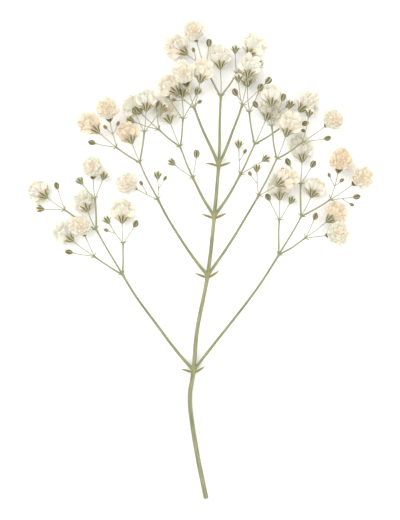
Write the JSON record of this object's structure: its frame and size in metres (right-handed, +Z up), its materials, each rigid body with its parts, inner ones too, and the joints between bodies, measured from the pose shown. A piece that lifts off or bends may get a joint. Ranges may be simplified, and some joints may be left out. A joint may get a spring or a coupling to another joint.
{
  "type": "gypsophila stem",
  "caption": "Cut stem of dried gypsophila, pressed nearly flat: forked green-grey sprays that end in small cream double flowers and buds.",
  "frame": {"origin": "middle of the stem's box seen from above, on the surface that it lies on", "axes": "+Z up from the surface, +Y along the stem from its cut end to its flowers"},
  "size_m": [0.0942, 0.1296, 0.0081],
  "materials": {
    "dried_stem": "dry, matt, faintly ribbed",
    "dried_petals": "papery, matt, slightly translucent"
  },
  "bodies": {
    "root": {"bloom_01": "dried_petals", "bloom_02": "dried_petals", "bloom_03": "dried_petals", "bloom_04": "dried_petals", "bloom_05": "dried_petals", "bloom_06": "dried_petals", "bloom_07": "dried_petals", "bloom_08": "dried_petals", "bloom_09": "dried_petals", "bloom_10": "dried_petals", "bloom_11": "dried_petals", "bloom_12": "dried_petals", "bloom_13": "dried_petals", "bloom_14": "dried_petals", "bloom_15": "dried_petals", "bloom_16": "dried_petals", "bloom_17": "dried_petals", "bloom_18": "dried_petals", "bloom_19": "dried_petals", "bloom_20": "dried_petals", "bloom_21": "dried_petals", "bloom_22": "dried_petals", "bloom_23": "dried_petals", "bloom_24": "dried_petals", "bloom_25": "dried_petals", "bloom_26": "dried_petals", "bloom_27": "dried_petals", "bloom_28": "dried_petals", "bloom_29": "dried_petals", "bloom_30": "dried_petals", "bloom_31": "dried_petals", "bloom_32": "dried_petals", "bloom_33": "dried_petals", "bloom_34": "dried_petals", "bloom_35": "dried_petals", "bloom_36": "dried_petals", "main_stem": "dried_stem", "spray_crown": "dried_stem", "spray_high_left": "dried_stem", "spray_high_right": "dried_stem", "spray_low_left": "dried_stem", "spray_low_right": "dried_stem", "spray_middle_left": "dried_stem", "spray_middle_right": "dried_stem", "spray_top_left": "dried_stem", "spray_top_right": "dried_stem"}
  },
  "joints": []
}
